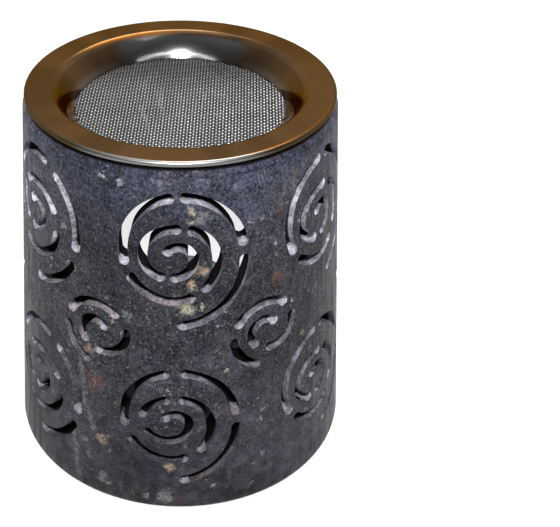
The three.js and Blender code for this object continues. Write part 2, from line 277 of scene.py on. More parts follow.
def stone_pattern():
    masks = ("Mottle", "Speck", "Cloud", "Warm", "Fleck", "Scratch", "Vein", "Grain")
    tree, place, out = masks_group("soapstone_pattern", masks)
    aside = vectors("ADD", place, (0.3, 0.2, 0.1))
    cluster = ramp(noise(aside, 60, 3, 0.6), 0.44, 0.62)
    wander = maths("ABSOLUTE", minus(noise(place, 15, 4, 0.55, 1.2), 0.5))
    patch = ramp(noise(aside, 26, 2), 0.52, 0.66)
    scratch = streaks(place, (0, 1.25, 0), 5 * MM, 0.5 * MM)
    for turned, length in (((0, -0.8, 0.3), 4 * MM), ((0, 0.7, 1.4), 4.5 * MM)):
        scratch = most(scratch, streaks(place, turned, length, 0.45 * MM))
    feed(out, {
        "Mottle": ramp(noise(place, 210, 8, 0.72, 0.3), 0.38, 0.68),
        "Speck": ramp(noise(aside, 1300, 3, 0.6), 0.36, 0.68),
        "Cloud": ramp(noise(place, 32, 3, 0.55, 0.6), 0.34, 0.66),
        "Warm": ramp(noise(aside, 260, 4, 0.65, 0.4), 0.40, 0.60),
        "Fleck": times(ramp(noise(place, 640, 3, 0.65), 0.60, 0.70), cluster),
        "Scratch": times(scratch, ramp(noise(place, 40, 2), 0.4, 0.6)),
        "Vein": times(fade(wander, 0.0, 0.011), patch),
        "Grain": noise(place, 1500, 3, 0.6),
    })
    return tree


pattern = stone_pattern()
print("shader group", pattern.name, "with", len(pattern.nodes), "nodes")

# %% [markdown]
# Some marks of this stone are its own: cream and rusty blotches, and ashen seams that cross it. They are
# placed where the photograph shows them, and guessed on the flanks, which it doesn't show.
# Each is given in degrees round the cone from the front, and its height and size in mm.

# %% Where the marks of the stone are
CREAM = colour(0.44, 0.41, 0.29)
PEACH = colour(0.44, 0.31, 0.22)
TAN = colour(0.28, 0.21, 0.15)
RUST = colour(0.11, 0.052, 0.038)
ASH = colour(0.18, 0.18, 0.185)
NAVY = colour(0.014, 0.013, 0.026)
MAROON = colour(0.060, 0.030, 0.028)
CHIP = colour(0.46, 0.46, 0.48)
BONE = colour(0.30, 0.275, 0.235)
BLOTCHES = [
    (3.5, 102, 1.3, CREAM), (4, 99, 1.2, CREAM), (7, 100.5, 2.2, ASH), (7.5, 84, 1.8, PEACH),
    (3, 80.7, 1.7, PEACH), (4, 79, 1.3, CREAM), (2, 72.5, 2.4, CREAM), (7, 73, 1.2, CREAM),
    (-30, 43, 3.4, RUST), (-31.5, 53.5, 1.9, TAN), (16, 50, 0.9, CREAM), (-27, 22.5, 2.3, TAN),
    (-3.5, 16.7, 1.9, PEACH), (-5, 5.2, 3.2, ASH), (-0.5, 4.2, 1.2, RUST), (-10, 16, 4.5, NAVY),
    (34.5, 77, 2.6, RUST), (199.5, 93, 2.6, TAN), (198.5, 86, 2.2, CREAM), (198, 102, 1.8, TAN),
    (204, 110, 1.8, PEACH), (202, 106.5, 1.4, PEACH), (152.5, 94, 1.8, PEACH), (156.5, 89, 1.2, CREAM),
    (165.5, 80, 1.3, CREAM), (171, 72.5, 1.2, CREAM), (172, 83, 0.9, CREAM), (225, 51, 2.0, CREAM),
    (104, 62, 2.4, RUST), (118, 88, 1.6, CREAM), (-96, 66, 2.2, TAN), (-128, 58, 1.5, PEACH),
    (-27, 110, 1.0, CHIP), (-20.5, 109, 0.9, CHIP), (-43, 90.5, 1.0, CREAM), (-18, 68.8, 1.6, ASH),
    (-22.5, 65.3, 0.9, PEACH), (-6, 110, 1.7, ASH), (-38, 79, 0.6, CREAM), (18.5, 108, 1.3, ASH),
    (14.5, 94, 1.0, RUST), (36, 97, 2.2, MAROON), (15, 71, 0.6, CHIP), (41, 66.8, 0.7, CHIP),
    (46.5, 53.8, 1.2, TAN), (-41, 51.5, 1.5, RUST), (-39, 55, 1.3, RUST), (-22, 37.8, 0.6, PEACH),
    (-27, 8, 2.2, ASH), (28, 30, 1.3, TAN), (29, 33, 1.1, TAN), (30.5, 38, 1.0, RUST),
    (12, 8.5, 0.8, CHIP), (-32, 14, 1.2, ASH), (-11.5, 4.5, 1.6, ASH), (-34, 19.5, 1.6, ASH),
    (-24.5, 6, 1.2, TAN), (17.5, 21, 0.8, ASH), (24, 6.5, 0.9, ASH), (28.5, 16.5, 1.4, ASH),
    (25.5, 13.5, 0.8, TAN),
]
SEAMS = [
    (0.7, ASH, [(-36.3, 54), (-35, 42), (-33, 32), (-30.5, 25)]),
    (0.8, ASH, [(-39, 21), (-37.8, 13), (-36.3, 5)]),
    (0.6, BONE, [(131.5, 90), (145, 82), (158, 72), (172, 61)]),
    (0.6, ASH, [(96, 28), (100, 52), (106, 76), (108, 98)]),
    (0.7, ASH, [(-100, 97), (-94, 76), (-88, 58), (-82, 40)]),
]
print(len(BLOTCHES), "blotches and", len(SEAMS), "seams")

# %% [markdown]
# A blotch is what lies near a point on the cone, and a seam is what lies near a bent line. Both are
# measured from a place that noise has shaken, so their edges are ragged.

# %% Paint blotches and seams
FOOT_RADIUS = 52.4 * MM
TOP_RADIUS = 44.2 * MM
STONE_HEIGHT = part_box("stone_body")[1].z


def cone_radius(height):
    return FOOT_RADIUS + (TOP_RADIUS - FOOT_RADIUS) * height / STONE_HEIGHT


def on_cone(degrees, height):
    angle = math.radians(degrees)
    radius = cone_radius(height)
    return (radius * math.sin(angle), -radius * math.cos(angle), height)


def off_line(place, start, end):
    """How far a place is from the straight line between two points."""
    start, span = Vector(start), Vector(end) - Vector(start)
    reached = vectors("SUBTRACT", place, start)
    share = measure("DOT_PRODUCT", reached, span / span.length_squared)
    share = maths("MINIMUM", most(share, 0.0), 1.0)
    return measure("DISTANCE", reached, vectors("MULTIPLY", span, share))


def shaken(place, scale, reach):
    """The place, moved by up to reach, so that round spots get ragged edges."""
    centred = vectors("SUBTRACT", noise(place, scale, 4.0, 0.65, output="Color"), (0.5, 0.5, 0.5))
    feeds = {0: centred, 1: (reach,) * 3, 2: place}
    return through("ShaderNodeVectorMath", feeds, operation="MULTIPLY_ADD")


def with_marks(tone, ragged, broken):
    """The tone with the blotches and the seams painted over it."""
    for degrees, height, size, paint in BLOTCHES:
        away = measure("DISTANCE", ragged, on_cone(degrees, height * MM))
        spot = fade(away, 0.3 * size * MM, 1.2 * size * MM)
        tone = blend(times(spot, broken), tone, paint)
    for width, paint, bends in SEAMS:
        ends = [on_cone(degrees, height * MM) for degrees, height in bends]
        away = maths("MINIMUM", *(off_line(ragged, *pair) for pair in zip(ends, ends[1:])))
        seam = fade(away, 0.3 * width * MM, 1.8 * width * MM, 0.75)
        tone = blend(times(seam, broken), tone, paint)
    return tone


print("cone radius half way up:", round(cone_radius(STONE_HEIGHT / 2) / MM, 2), "mm")

# %% [markdown]
# The polished face starts from mottles and specks, warm and cool, in clouds. A painted bluish reflection of
# the sky lies on it towards the rim, and it is smoother at the foot. Then come the marks, dust, veins,
# flecks and scratches, and last the wear and painted light: painted shade along the arris under the rim,
# with pale spots painted as its highlight, a chalky sill at the arch, and a painted shadow where the sieve
# sits.

# %% Polished stone
FLOOR_HEIGHT = 16.5 * MM
RIM_EASE = 2.2 * MM
SMOOTH_BELOW = 8 * MM
GRITTY_ABOVE = 55 * MM
MEAN_SPECK = 0.42
INK = colour(0.003, 0.003, 0.004)
SLATE = colour(0.066, 0.066, 0.083)
COOL = colour(0.95, 0.965, 1.06)
WARM = colour(1.06, 1.01, 0.96)
SKY_REFLECTION_TINT = colour(1.36, 1.46, 1.80)
DUST = colour(0.23, 0.23, 0.25)
VEIN = colour(0.24, 0.225, 0.195)
FLECK = colour(0.36, 0.36, 0.38)
ARRIS_SHADE = colour(0.012, 0.012, 0.016)


def rough_up(shader, height, depth):
    feeds = {"Height": height, "Strength": 1.0, "Distance": depth}
    feed(shader, {"Normal": through("ShaderNodeBump", feeds, "Normal")})


def base_tone(place, masks, level, gritty):
    speck = plus(times(minus(masks["Speck"], MEAN_SPECK), gritty), MEAN_SPECK)
    soft = times(ramp(noise(place, 330, 2, 0.55), 0.30, 0.70, -0.15, 0.28), minus(1.0, gritty))
    uneven = plus(times(masks["Mottle"], 0.45), times(speck, 0.55), soft)
    tone = tinted(blend(uneven, INK, SLATE), blend(masks["Warm"], COOL, WARM))
    tone = tinted(tone, blend(masks["Cloud"], grey(0.60), grey(1.28)))
    # A painted bluish reflection of the sky, growing towards the rim.
    sky_reflection_near_rim = ramp(level, 0.72 * STONE_HEIGHT, 0.97 * STONE_HEIGHT)
    return blend(sky_reflection_near_rim, tone, tinted(tone, SKY_REFLECTION_TINT))


def with_grain(tone, masks, gritty, broken):
    tone = blend(times(ramp(masks["Grain"], 0.57, 0.70, 0.0, 0.5), gritty), tone, DUST)
    tone = blend(times(masks["Vein"], 0.4, broken), tone, VEIN)
    for mask, share in (("Fleck", 0.75), ("Scratch", 0.5)):
        tone = blend(times(masks[mask], share, gritty), tone, FLECK)
    return tone


def with_wear_and_painted_light(tone, place, level, ragged, broken):
    # Painted shade along the arris under the rim, broken by noise, with pale spots painted as its
    # highlight.
    off_arris = maths("ABSOLUTE", minus(level, STONE_HEIGHT - RIM_EASE))
    arris_shade_breakup = ramp(noise(place, 180, 3), 0.40, 0.60, 0.0, 0.75)
    tone = blend(times(arris_shade_breakup, fade(off_arris, 0.1 * MM, 0.4 * MM)), tone, ARRIS_SHADE)
    arris_highlight_spots = ramp(noise(place, 150, 4, 0.6), 0.61, 0.70, 0.0, 0.7)
    tone = blend(times(arris_highlight_spots, fade(off_arris, 0.1 * MM, 0.35 * MM)), tone, CHIP)
    off_sill = maths("ABSOLUTE", minus(split(ragged)["Z"], FLOOR_HEIGHT))
    chalky = times(ramp(noise(place, 120, 3), 0.42, 0.58, 0.15, 0.8), fade(off_sill, 0.3 * MM, 1.6 * MM))
    at_arch = ramp(split(place)["Y"], 38 * MM, 41 * MM)
    tone = blend(times(chalky, at_arch, broken), tone, CHIP)
    # A painted shadow on the stone under the sieve's roll.
    painted_sieve_shadow = ramp(level, STONE_HEIGHT - 0.6 * MM, STONE_HEIGHT - 0.3 * MM, 1.0, 0.04)
    return tinted(tone, painted_sieve_shadow)


polished, tree, shader = new_material("polished_soapstone")
place, masks = use_group(tree, pattern)
level = split(place)["Z"]
gritty = ramp(level, SMOOTH_BELOW, GRITTY_ABOVE, 0.3, 1.0)
ragged = shaken(place, 420, 6 * MM)
broken = ramp(noise(place, 1100, 3, 0.6), 0.38, 0.56, 0.25, 0.9)
tone = with_marks(base_tone(place, masks, level, gritty), ragged, broken)
tone = with_wear_and_painted_light(with_grain(tone, masks, gritty, broken), place, level, ragged, broken)
sanding = noise(stretched(place, (1.5 * MM, 1.5 * MM, 35 * MM)), 1, 2)
feed(shader, {"Base Color": tone, "Roughness": ramp(sanding, 0.35, 0.65, 0.40, 0.58)})
feed(shader, {"Specular IOR Level": 0.12})
rough_up(shader, times(plus(masks["Grain"], masks["Scratch"]), gritty), 0.02 * MM)
print("material", polished.name, "with", len(tree.nodes), "nodes")

# %% [markdown]
# In the slots the stone is raw: pale and dusty at the mouth and brightest where a drill ended them. A
# little way in, painted shade darkens it, less deep on walls that face up, where painted light from above
# falls.
# The floor of the warmer is raw too, and the bore is painted near black, as shade.

# %% Raw stone in the cuts, and the darker bore
STAIN = colour(0.64, 0.48, 0.43)


def depth_in_stone(place):
    """How far a point lies under the face of the cone, in metres."""
    taper = (TOP_RADIUS - FOOT_RADIUS) / STONE_HEIGHT
    return minus(plus(times(split(place)["Z"], taper), FOOT_RADIUS), off_axis(place))


def slot_light(place, at_end):
    """Painted shade a little way in, less deep on walls that face up, where painted light from above falls,
    and at a drilled end. Paler high up.
    """
    height = split(place)["Z"]
    facing_up = split(put(place.id_data, "ShaderNodeNewGeometry").outputs["Normal"])["Z"]
    # Walls that face up get painted light further in, more so high up.
    facing_up_shade_scale = ramp(height, 30 * MM, 75 * MM, 1.1, 0.5)
    shade_depth_scale = times(ramp(height, 30 * MM, 90 * MM, 0.7, 1.0), ramp(facing_up, 0.45, 0.95, 1.0, facing_up_shade_scale))
    shade_depth_scale = times(shade_depth_scale, ramp(at_end, 0.0, 1.0, 1.0, 0.35))
    depth = times(depth_in_stone(place), shade_depth_scale)
    pale = plus(ramp(height, 25 * MM, 95 * MM, 0.3, 0.85), times(at_end, 0.3))
    return times(ramp(depth, 1.3 * MM, 1.9 * MM, 1.0, 0.035), pale)


def raw_stone(name, dark, pale, dust, patchy=0.3, slotted=False):
    """Chiselled stone: speckled, stained here and there, with dust in patches and in the tool marks."""
    material, tree, shader = new_material(name)
    place, masks = use_group(tree, pattern)
    tool = noise(stretched(place, (11 * MM, 11 * MM, 0.9 * MM)), 1, 3)
    dusty = ramp(noise(place, 110, 2), 0.46, 0.62, 0.0, patchy)
    dusty = most(dusty, ramp(tool, 0.45, 0.68, 0.0, 0.3))
    if slotted:
        drilled = put(tree, "ShaderNodeAttribute", attribute_name="drilled").outputs["Fac"]
        at_end = ramp(plus(drilled, noise(place, 420, 3, 0.6)), 0.75, 1.15)
        at_end = times(at_end, ramp(noise(place, 75, 2), 0.38, 0.56, 0.35, 1.0))
        dusty = most(dusty, times(at_end, 0.75))
    dusty = times(dusty, ramp(noise(place, 850, 3, 0.65), 0.40, 0.60, 0.3, 1.0))
    tone = blend(masks["Speck"], colour(*dark), colour(*pale))
    tone = blend(most(dusty, masks["Fleck"]), tone, colour(*dust))
    tone = blend(ramp(noise(place, 55, 3), 0.56, 0.68, 0.0, 0.55), tone, tinted(tone, STAIN))
    if slotted:
        # In a slot, painted shade darkens the stone a little way in.
        tone = tinted(tone, slot_light(place, at_end))
    feed(shader, {"Base Color": tone, "Roughness": 0.85, "Specular IOR Level": 0.1})
    rough_up(shader, plus(masks["Grain"], times(tool, 2.0), masks["Mottle"]), 0.1 * MM)
    return material


raw = raw_stone("raw_soapstone", (0.22, 0.215, 0.265), (0.42, 0.41, 0.48), (0.60, 0.58, 0.64))
slot_stone = raw_stone(
    "slot_soapstone", (0.13, 0.127, 0.155), (0.40, 0.39, 0.47), (0.86, 0.84, 0.95), 0.9, slotted=True)
# The bore's near-black colour is painted shade.
shaded_bore_stone = raw_stone(
    "bored_soapstone", (0.007, 0.007, 0.008), (0.016, 0.016, 0.018), (0.03, 0.029, 0.031))
print("materials", [m.name for m in (raw, slot_stone, shaded_bore_stone)])

# %% [markdown]
# ## The blank
# A mason turns the cone first: a slightly tapered outside with an eased rim, a straight bore, a thick floor
# and a small rounding at the foot. In Blender a turned shape is an outline swept round the axis. We write
# that sweep once and use it for every round piece, with an outline of points (radius, height).

# %% Sweep outlines round the axis
def turn(name, outline, steps, closed=False, centre=(0, 0, 0)):
    """A mesh of the outline swept round Z. Points on the axis become one vertex."""
    shape = bmesh.new()
    rings = []
    turns = [2 * math.pi * i / steps for i in range(steps)]
    for radius, height in outline:
        if radius == 0:
            rings.append([shape.verts.new((0, 0, height))] * steps)
            continue
        spots = [(radius * math.cos(t), radius * math.sin(t), height) for t in turns]
        rings.append([shape.verts.new(spot) for spot in spots])
    for low, high in zip(rings, rings[1:] + (rings[:1] if closed else [])):
        for i in range(steps):
            j = (i + 1) % steps
            corners = list(dict.fromkeys((low[i], low[j], high[j], high[i])))
            if len(corners) > 2:
                shape.faces.new(corners)
    bmesh.ops.recalc_face_normals(shape, faces=shape.faces)
    return as_mesh(name, shape, centre)


def as_mesh(name, shape, centre):
    bmesh.ops.translate(shape, verts=shape.verts, vec=centre)
    mesh = bpy.data.meshes.new(name)
    shape.to_mesh(mesh)
    shape.free()
    mesh.shade_smooth()
    return mesh


def arc(radius_at, height_at, size, start, end, steps):
    """Points of an arc in the outline plane, from start to end degrees."""
    angles = [math.radians(start + (end - start) * i / steps) for i in range(steps + 1)]
    return [(radius_at + size * math.cos(a), height_at + size * math.sin(a)) for a in angles]


def between(first, second, steps):
    """Points from first towards second, without second."""
    return [tuple(a + (b - a) * i / steps for a, b in zip(first, second)) for i in range(steps)]


print("a line in three steps:", between((0, 0), (3, 6), 3))

# %% Turn the blank
BORE_RADIUS = TOP_RADIUS - 5.2 * MM
FOOT_ROUNDING = 2 * MM
RIM_INSET = 0.9 * MM
SKIN = 0.05 * MM


def blank_outline():
    foot = cone_radius(FOOT_ROUNDING) - FOOT_ROUNDING
    side_low = (cone_radius(FOOT_ROUNDING), FOOT_ROUNDING)
    side_high = (cone_radius(STONE_HEIGHT - RIM_EASE), STONE_HEIGHT - RIM_EASE)
    rim = (cone_radius(STONE_HEIGHT) - RIM_INSET, STONE_HEIGHT)
    points = [(0, 0)] + between((foot / 4, 0), (foot, 0), 6)
    points += arc(foot, FOOT_ROUNDING, FOOT_ROUNDING, -90, 0, 6)[:-1]
    points += between(side_low, side_high, 36) + [side_high, rim]
    points += between((BORE_RADIUS, STONE_HEIGHT), (BORE_RADIUS, FLOOR_HEIGHT), 30)
    points += between((BORE_RADIUS, FLOOR_HEIGHT), (0, FLOOR_HEIGHT), 12) + [(0, FLOOR_HEIGHT)]
    return points


blank = new_object("soapstone_cone", turn("soapstone_cone", blank_outline(), 256))
for material in (polished, raw, shaded_bore_stone):
    blank.data.materials.append(material)
for face in blank.data.polygons:
    middle = face.center
    outside = math.hypot(middle.x, middle.y) > BORE_RADIUS + SKIN and middle.z > SKIN
    on_wall = abs(face.normal.z) < 0.5
    face.material_index = 0 if outside else 2 if on_wall else 1
print("blank:", len(blank.data.polygons), "faces")

# %% [markdown]
# ## The spirals
# Each spiral is a row of slots along a curve that winds inwards; the lands between the slots hold the stone
# together. They were marked by hand, so the radius is given at every quarter turn and smoothed between.
# A slot was drilled at both ends, a little wider than it is, and opened up in between, so its width wavers.
# Here we only draw flat outlines. What an outline needs to know later is written on its points.

# %% Draw the slots as flat outlines
LARGE = [21.5, 18.3, 17.8, 14.7, 13.5, 10.6, 8.6, 9.3, 6, 4.2, 3.2, 3.2]
OVER_ARCH = [17, 14.2, 14, 12.9, 10.2, 8, 7.1, 7.2, 3.4, 2]
SMALL = [11, 10.2, 9.6, 8.8, 5.8, 5.1, 4, 2.7]
FRONT_UPPER = [(-90, -3), (6, 88), (93, 194), (205, 292), (302, 433), (443, 604), (613, 888)]
FRONT_LOWER = [(-86, -6), (3, 84), (95, 191), (206, 288), (303, 442), (459, 532), (557, 888)]
LEFT = [(-88, -29), (-17, 58), (70, 150), (164, 222), (238, 348), (375, 500), (515, 590), (606, 885)]
RIGHT = [(-80, -6), (8, 84), (92, 210), (221, 302), (318, 420), (434, 609), (625, 885)]
BACK = [(-88, -5), (10, 73), (82, 174), (189, 288), (303, 432), (446, 600), (615, 885)]
ARCH = [(-89, -2), (14, 101), (108, 157), (163, 185), (196, 295), (311, 398), (420, 500), (518, 675)]
SMALL_SLOTS = [(-78, 0), (20, 135), (160, 276), (306, 515)]
SLOT_WIDTH = 2.8 * MM
ARCH_SLOT_WIDTH = 2.2 * MM
STEP_ALONG = 6
STEPS_OF_END = 7
WAVER = 0.05
DRILL_OVERSIZE = 0.1


def spiral_radius(radii, degrees):
    """The radius in metres, on a Catmull-Rom curve through the radii of the quarter turns."""
    share = min(max((degrees + 90) / 90, 0), len(radii) - 1.000001)
    first = int(share)
    before, here, there, after = (radii[min(max(first + k, 0), len(radii) - 1)] for k in (-1, 0, 1, 2))
    t = share - first
    leave, arrive = (there - before) / 2, (after - here) / 2
    cubic = (2 * here - 2 * there + leave + arrive) * t**3
    return (cubic + (3 * there - 3 * here - 2 * leave - arrive) * t**2 + leave * t + here) * MM


def on_spiral(radii, degrees):
    angle = math.radians(degrees)
    return spiral_radius(radii, degrees) * Vector((math.cos(angle), math.sin(angle)))


def slot_outline(radii, slot, width):
    """The outline of one slot, anticlockwise: points, outward directions, and 1 at the drilled ends."""
    first = slot[0] + math.degrees(width / 2 / spiral_radius(radii, slot[0]))
    last = slot[1] - math.degrees(width / 2 / spiral_radius(radii, slot[1]))
    steps = max(4, math.ceil((last - first) / STEP_ALONG))
    outer, inner = [], []
    for i in range(steps + 1):
        degrees = first + (last - first) * i / steps
        point = on_spiral(radii, degrees)
        along = on_spiral(radii, degrees + 1) - on_spiral(radii, degrees - 1)
        side = Vector((along.y, -along.x)).normalized()
        waver = WAVER * math.sin(math.pi * i / steps) * math.sin(0.11 * degrees + 5 * slot[0])
        at_end = 1.0 if i in (0, steps) else 0.0
        half = width / 2 * (1 + waver + DRILL_OVERSIZE * at_end)
        outer.append((point + half * side, side, at_end))
        inner.append((point - half * side, -side, at_end))
    ends = []
    drill = width / 2 * (1 + DRILL_OVERSIZE)
    for point, side, _ in (outer[-1], inner[0]):
        centre = point - side * drill
        ends.append([])
        for k in range(1, STEPS_OF_END):
            away = Matrix.Rotation(math.pi * k / STEPS_OF_END, 2) @ side
            ends[-1].append((centre + away * drill, away, 1.0))
    return outer + ends[0] + inner[::-1] + ends[1]


print("slot outline has", len(slot_outline(LARGE, FRONT_UPPER[0], SLOT_WIDTH)), "points")

# %% [markdown]
# Three rows of spirals go round the cone, and one more stands over the arch, which is an outline too.
# Each point is told its turn round the cone, the way its cut leans, how wide its edge is eased, and how
# far the cutter reaches past the wall.

# %% Where the spirals and the arch are
UPPER_ROW = STONE_HEIGHT - 24.5 * MM
LOWER_ROW = 33.5 * MM
MIDDLE_ROW = LOWER_ROW + 0.485 * (UPPER_ROW - LOWER_ROW)
ARCH_HEIGHT = 47 * MM
ARCH_SPRING = 27.5 * MM
ARCH_HALF_SPRING = 29 * MM
ARCH_HALF_FLOOR = 32.5 * MM
ARCH_ROW = (FLOOR_HEIGHT + ARCH_HEIGHT + STONE_HEIGHT) / 2 + 1.5 * MM
CROWN_STEPS = 48
SPIRALS = [
    (-1, UPPER_ROW - 1 * MM, LARGE, FRONT_UPPER),
    (-60.5, UPPER_ROW, LARGE, LEFT),
    (58, UPPER_ROW - 0.5 * MM, LARGE, RIGHT),
    (-122, UPPER_ROW + 1 * MM, LARGE, BACK),
    (122, UPPER_ROW + 1 * MM, LARGE, RIGHT),
    (178.5, ARCH_ROW, OVER_ARCH, ARCH),
    (-2, LOWER_ROW - 0.5 * MM, LARGE, FRONT_LOWER),
    (-58, LOWER_ROW, LARGE, LEFT),
    (55, LOWER_ROW, LARGE, RIGHT),
    (-115, LOWER_ROW + 2 * MM, LARGE, RIGHT),
    (115, LOWER_ROW + 2 * MM, LARGE, LEFT),
    (-29, MIDDLE_ROW, SMALL, SMALL_SLOTS),
    (30.5, MIDDLE_ROW, SMALL, SMALL_SLOTS),
    (-90, MIDDLE_ROW + 2 * MM, SMALL, SMALL_SLOTS),
    (90, MIDDLE_ROW + 2 * MM, SMALL, SMALL_SLOTS),
]


def arch_outline():
    """The arch, anticlockwise: up one straight side, over the crown, down, and back along the floor."""
    side = between((ARCH_HALF_FLOOR, 0), (ARCH_HALF_SPRING, ARCH_SPRING), 10)
    crown = []
    for i in range(CROWN_STEPS + 1):
        angle = math.pi * i / CROWN_STEPS
        rise = (ARCH_HEIGHT - ARCH_SPRING) * math.sin(angle)
        crown.append((ARCH_HALF_SPRING * math.cos(angle), ARCH_SPRING + rise))
    back = between((-ARCH_HALF_SPRING, ARCH_SPRING), (-ARCH_HALF_FLOOR, 0), 10)[1:]
    sill = between((-ARCH_HALF_FLOOR, 0), (ARCH_HALF_FLOOR, 0), 36)
    flat = [Vector(p) for p in side + crown + back + sill]
    outline = []
    for i, point in enumerate(flat):
        along = flat[(i + 1) % len(flat)] - flat[i - 1]
        height = FLOOR_HEIGHT + point.y
        round_cone = math.asin(point.x / cone_radius(height)) * TOP_RADIUS
        outline.append((Vector((round_cone, height)), Vector((along.y, -along.x)).normalized(), 0.0))
    return outline


print(len(SPIRALS), "spirals,", sum(len(slots) for _, _, _, slots in SPIRALS), "slots and an arch")

# %% Draw every outline, with what it needs to know
CUT_LEAN = 0.5
SLOT_EASE = 0.12 * MM
SLOT_REACH = 2 * MM
ARCH_EASE = 0.7 * MM
ARCH_REACH = 16 * MM


def all_outlines():
    """Yields each outline with its turn, the turn of its cut, wrap radius, height, ease and reach."""
    for degrees, height, radii, slots in SPIRALS:
        width = ARCH_SLOT_WIDTH if radii is OVER_ARCH else SLOT_WIDTH
        for slot in slots:
            outline = slot_outline(radii, slot, width)
            if radii is SMALL:
                outline = [(Vector((-p.x, p.y)), Vector((-s.x, s.y)), e) for p, s, e in reversed(outline)]
            across = [point.x for point, _, _ in outline]
            middle = (min(across) + max(across)) / 2
            turned = math.radians(degrees)
            lean = turned + CUT_LEAN * middle / cone_radius(height)
            yield outline, turned, lean, cone_radius(height), height, SLOT_EASE, SLOT_REACH
    yield arch_outline(), math.pi, math.pi, TOP_RADIUS, 0, ARCH_EASE, ARCH_REACH


def draw_outlines():
    points, faces, marks = [], [], []
    for outline, turned, lean, wrap, height, ease, reach in all_outlines():
        faces.append(range(len(points), len(points) + len(outline)))
        for point, side, at_end in outline:
            points.append((point.x, point.y + height, 0))
            marks.append((turned, lean, wrap, ease, reach, at_end, side))
    mesh = bpy.data.meshes.new("slot_outlines")
    mesh.from_pydata(points, [], faces)
    for k, name in enumerate(("turned", "lean", "wrap", "ease", "reach", "drilled")):
        mesh.attributes.new(name, "FLOAT", "POINT").data.foreach_set("value", [m[k] for m in marks])
    sides = mesh.attributes.new("side", "FLOAT_VECTOR", "POINT")
    sides.data.foreach_set("vector", [c for m in marks for c in (m[-1].x, m[-1].y, 0)])
    return mesh


outlines = new_object("slot_outlines", draw_outlines())
for material in (slot_stone, raw):
    outlines.data.materials.append(material)
print(len(outlines.data.polygons), "outlines,", len(outlines.data.vertices), "points")

# %% [markdown]
# ## Carving
# Cutting a hundred slots one Boolean at a time would be slow, and nothing could be adjusted afterwards.
# A Geometry Nodes tree does it in one go: it raises every flat outline into a small tower, wraps the towers
# round the cone, lets each one run straight through the wall as a chisel does, and takes them all away.
# The top of a tower is a little wider, which leaves the eased edge that a rasp gives to stone.

# %% Towers that wrap round the cone
def geometry_tree(name, kinds, sizes):
    """A tree with a geometry, sockets of given kinds and sizes. Returns it, its inputs and its result."""
    tree = bpy.data.node_groups.new(name, "GeometryNodeTree")
    for way in ("INPUT", "OUTPUT"):
        tree.interface.new_socket("Geometry", in_out=way, socket_type="NodeSocketGeometry")
    for socket, kind in {**kinds, **dict.fromkeys(sizes, "NodeSocketFloat")}.items():
        tree.interface.new_socket(socket, in_out="INPUT", socket_type=kind)
    return tree, put(tree, "NodeGroupInput").outputs, put(tree, "NodeGroupOutput").inputs["Geometry"]


def mark(tree, name, kind="FLOAT"):
    node = put(tree, "GeometryNodeInputNamedAttribute", {"Name": name}, data_type=kind)
    return node.outputs["Attribute"]


def raise_towers(tree, flat):
    """Three storeys, one unit high each, over the flat outlines, with a floor under them."""
    up = {"Offset": (0, 0, 1), "Individual": False}
    storey = put(tree, "GeometryNodeExtrudeMesh", {"Mesh": flat, **up}).outputs
    for _ in range(2):
        feeds = {"Mesh": storey[0], "Selection": storey[1], **up}
        storey = put(tree, "GeometryNodeExtrudeMesh", feeds).outputs
    closed = put(tree, "GeometryNodeJoinGeometry")
    for part in (through("GeometryNodeFlipFaces", {"Mesh": flat}), storey[0]):
        tree.links.new(part, closed.inputs[0])
    return closed.outputs[0]


def face_radius(sockets, height):
    """The radius of the cone's face at a height."""
    widening = minus(sockets["Top Radius"], sockets["Foot Radius"])
    return plus(sockets["Foot Radius"], times(widening, maths("DIVIDE", height, sockets["Height"])))


def wrapped_place(tree, sockets):
    """Where a point of a tower goes: its storey decides how far in or out it sits."""
    spot = split(put(tree, "GeometryNodeInputPosition").outputs[0])
    level = spot["Z"]
    ease, reach, lean = (mark(tree, name) for name in ("ease", "reach", "lean"))
    side = split(mark(tree, "side", "FLOAT_VECTOR"))
    wide = times(maths("GREATER_THAN", level, 1.5), ease)
    across = plus(spot["X"], times(side["X"], wide))
    height = plus(spot["Y"], times(side["Y"], wide))
    radius = face_radius(sockets, height)
    angle = plus(mark(tree, "turned"), maths("DIVIDE", across, mark(tree, "wrap")))
    deep = times(maths("LESS_THAN", level, 0.5), minus(sockets["Bore Radius"], radius, reach))
    eased = times(maths("COMPARE", level, 1.0), times(ease, -1.0))
    over = times(maths("GREATER_THAN", level, 2.5), reach)
    run = plus(deep, eased, over)
    x = plus(times(radius, maths("SINE", angle)), times(run, maths("SINE", lean)))
    y = plus(times(radius, maths("COSINE", angle)), times(run, maths("COSINE", lean)))
    return joined(X=x, Y=times(y, -1.0), Z=height)


print("points carry", [a.name for a in outlines.data.attributes if a.name.islower()])

# %% The carving tree
SAME_REACH = 0.1 * MM
SAME_POINT = 1e-6


def painted(geometry, material, selection=True):
    feeds = {"Geometry": geometry, "Selection": selection, "Material": material}
    return through("GeometryNodeSetMaterial", feeds)


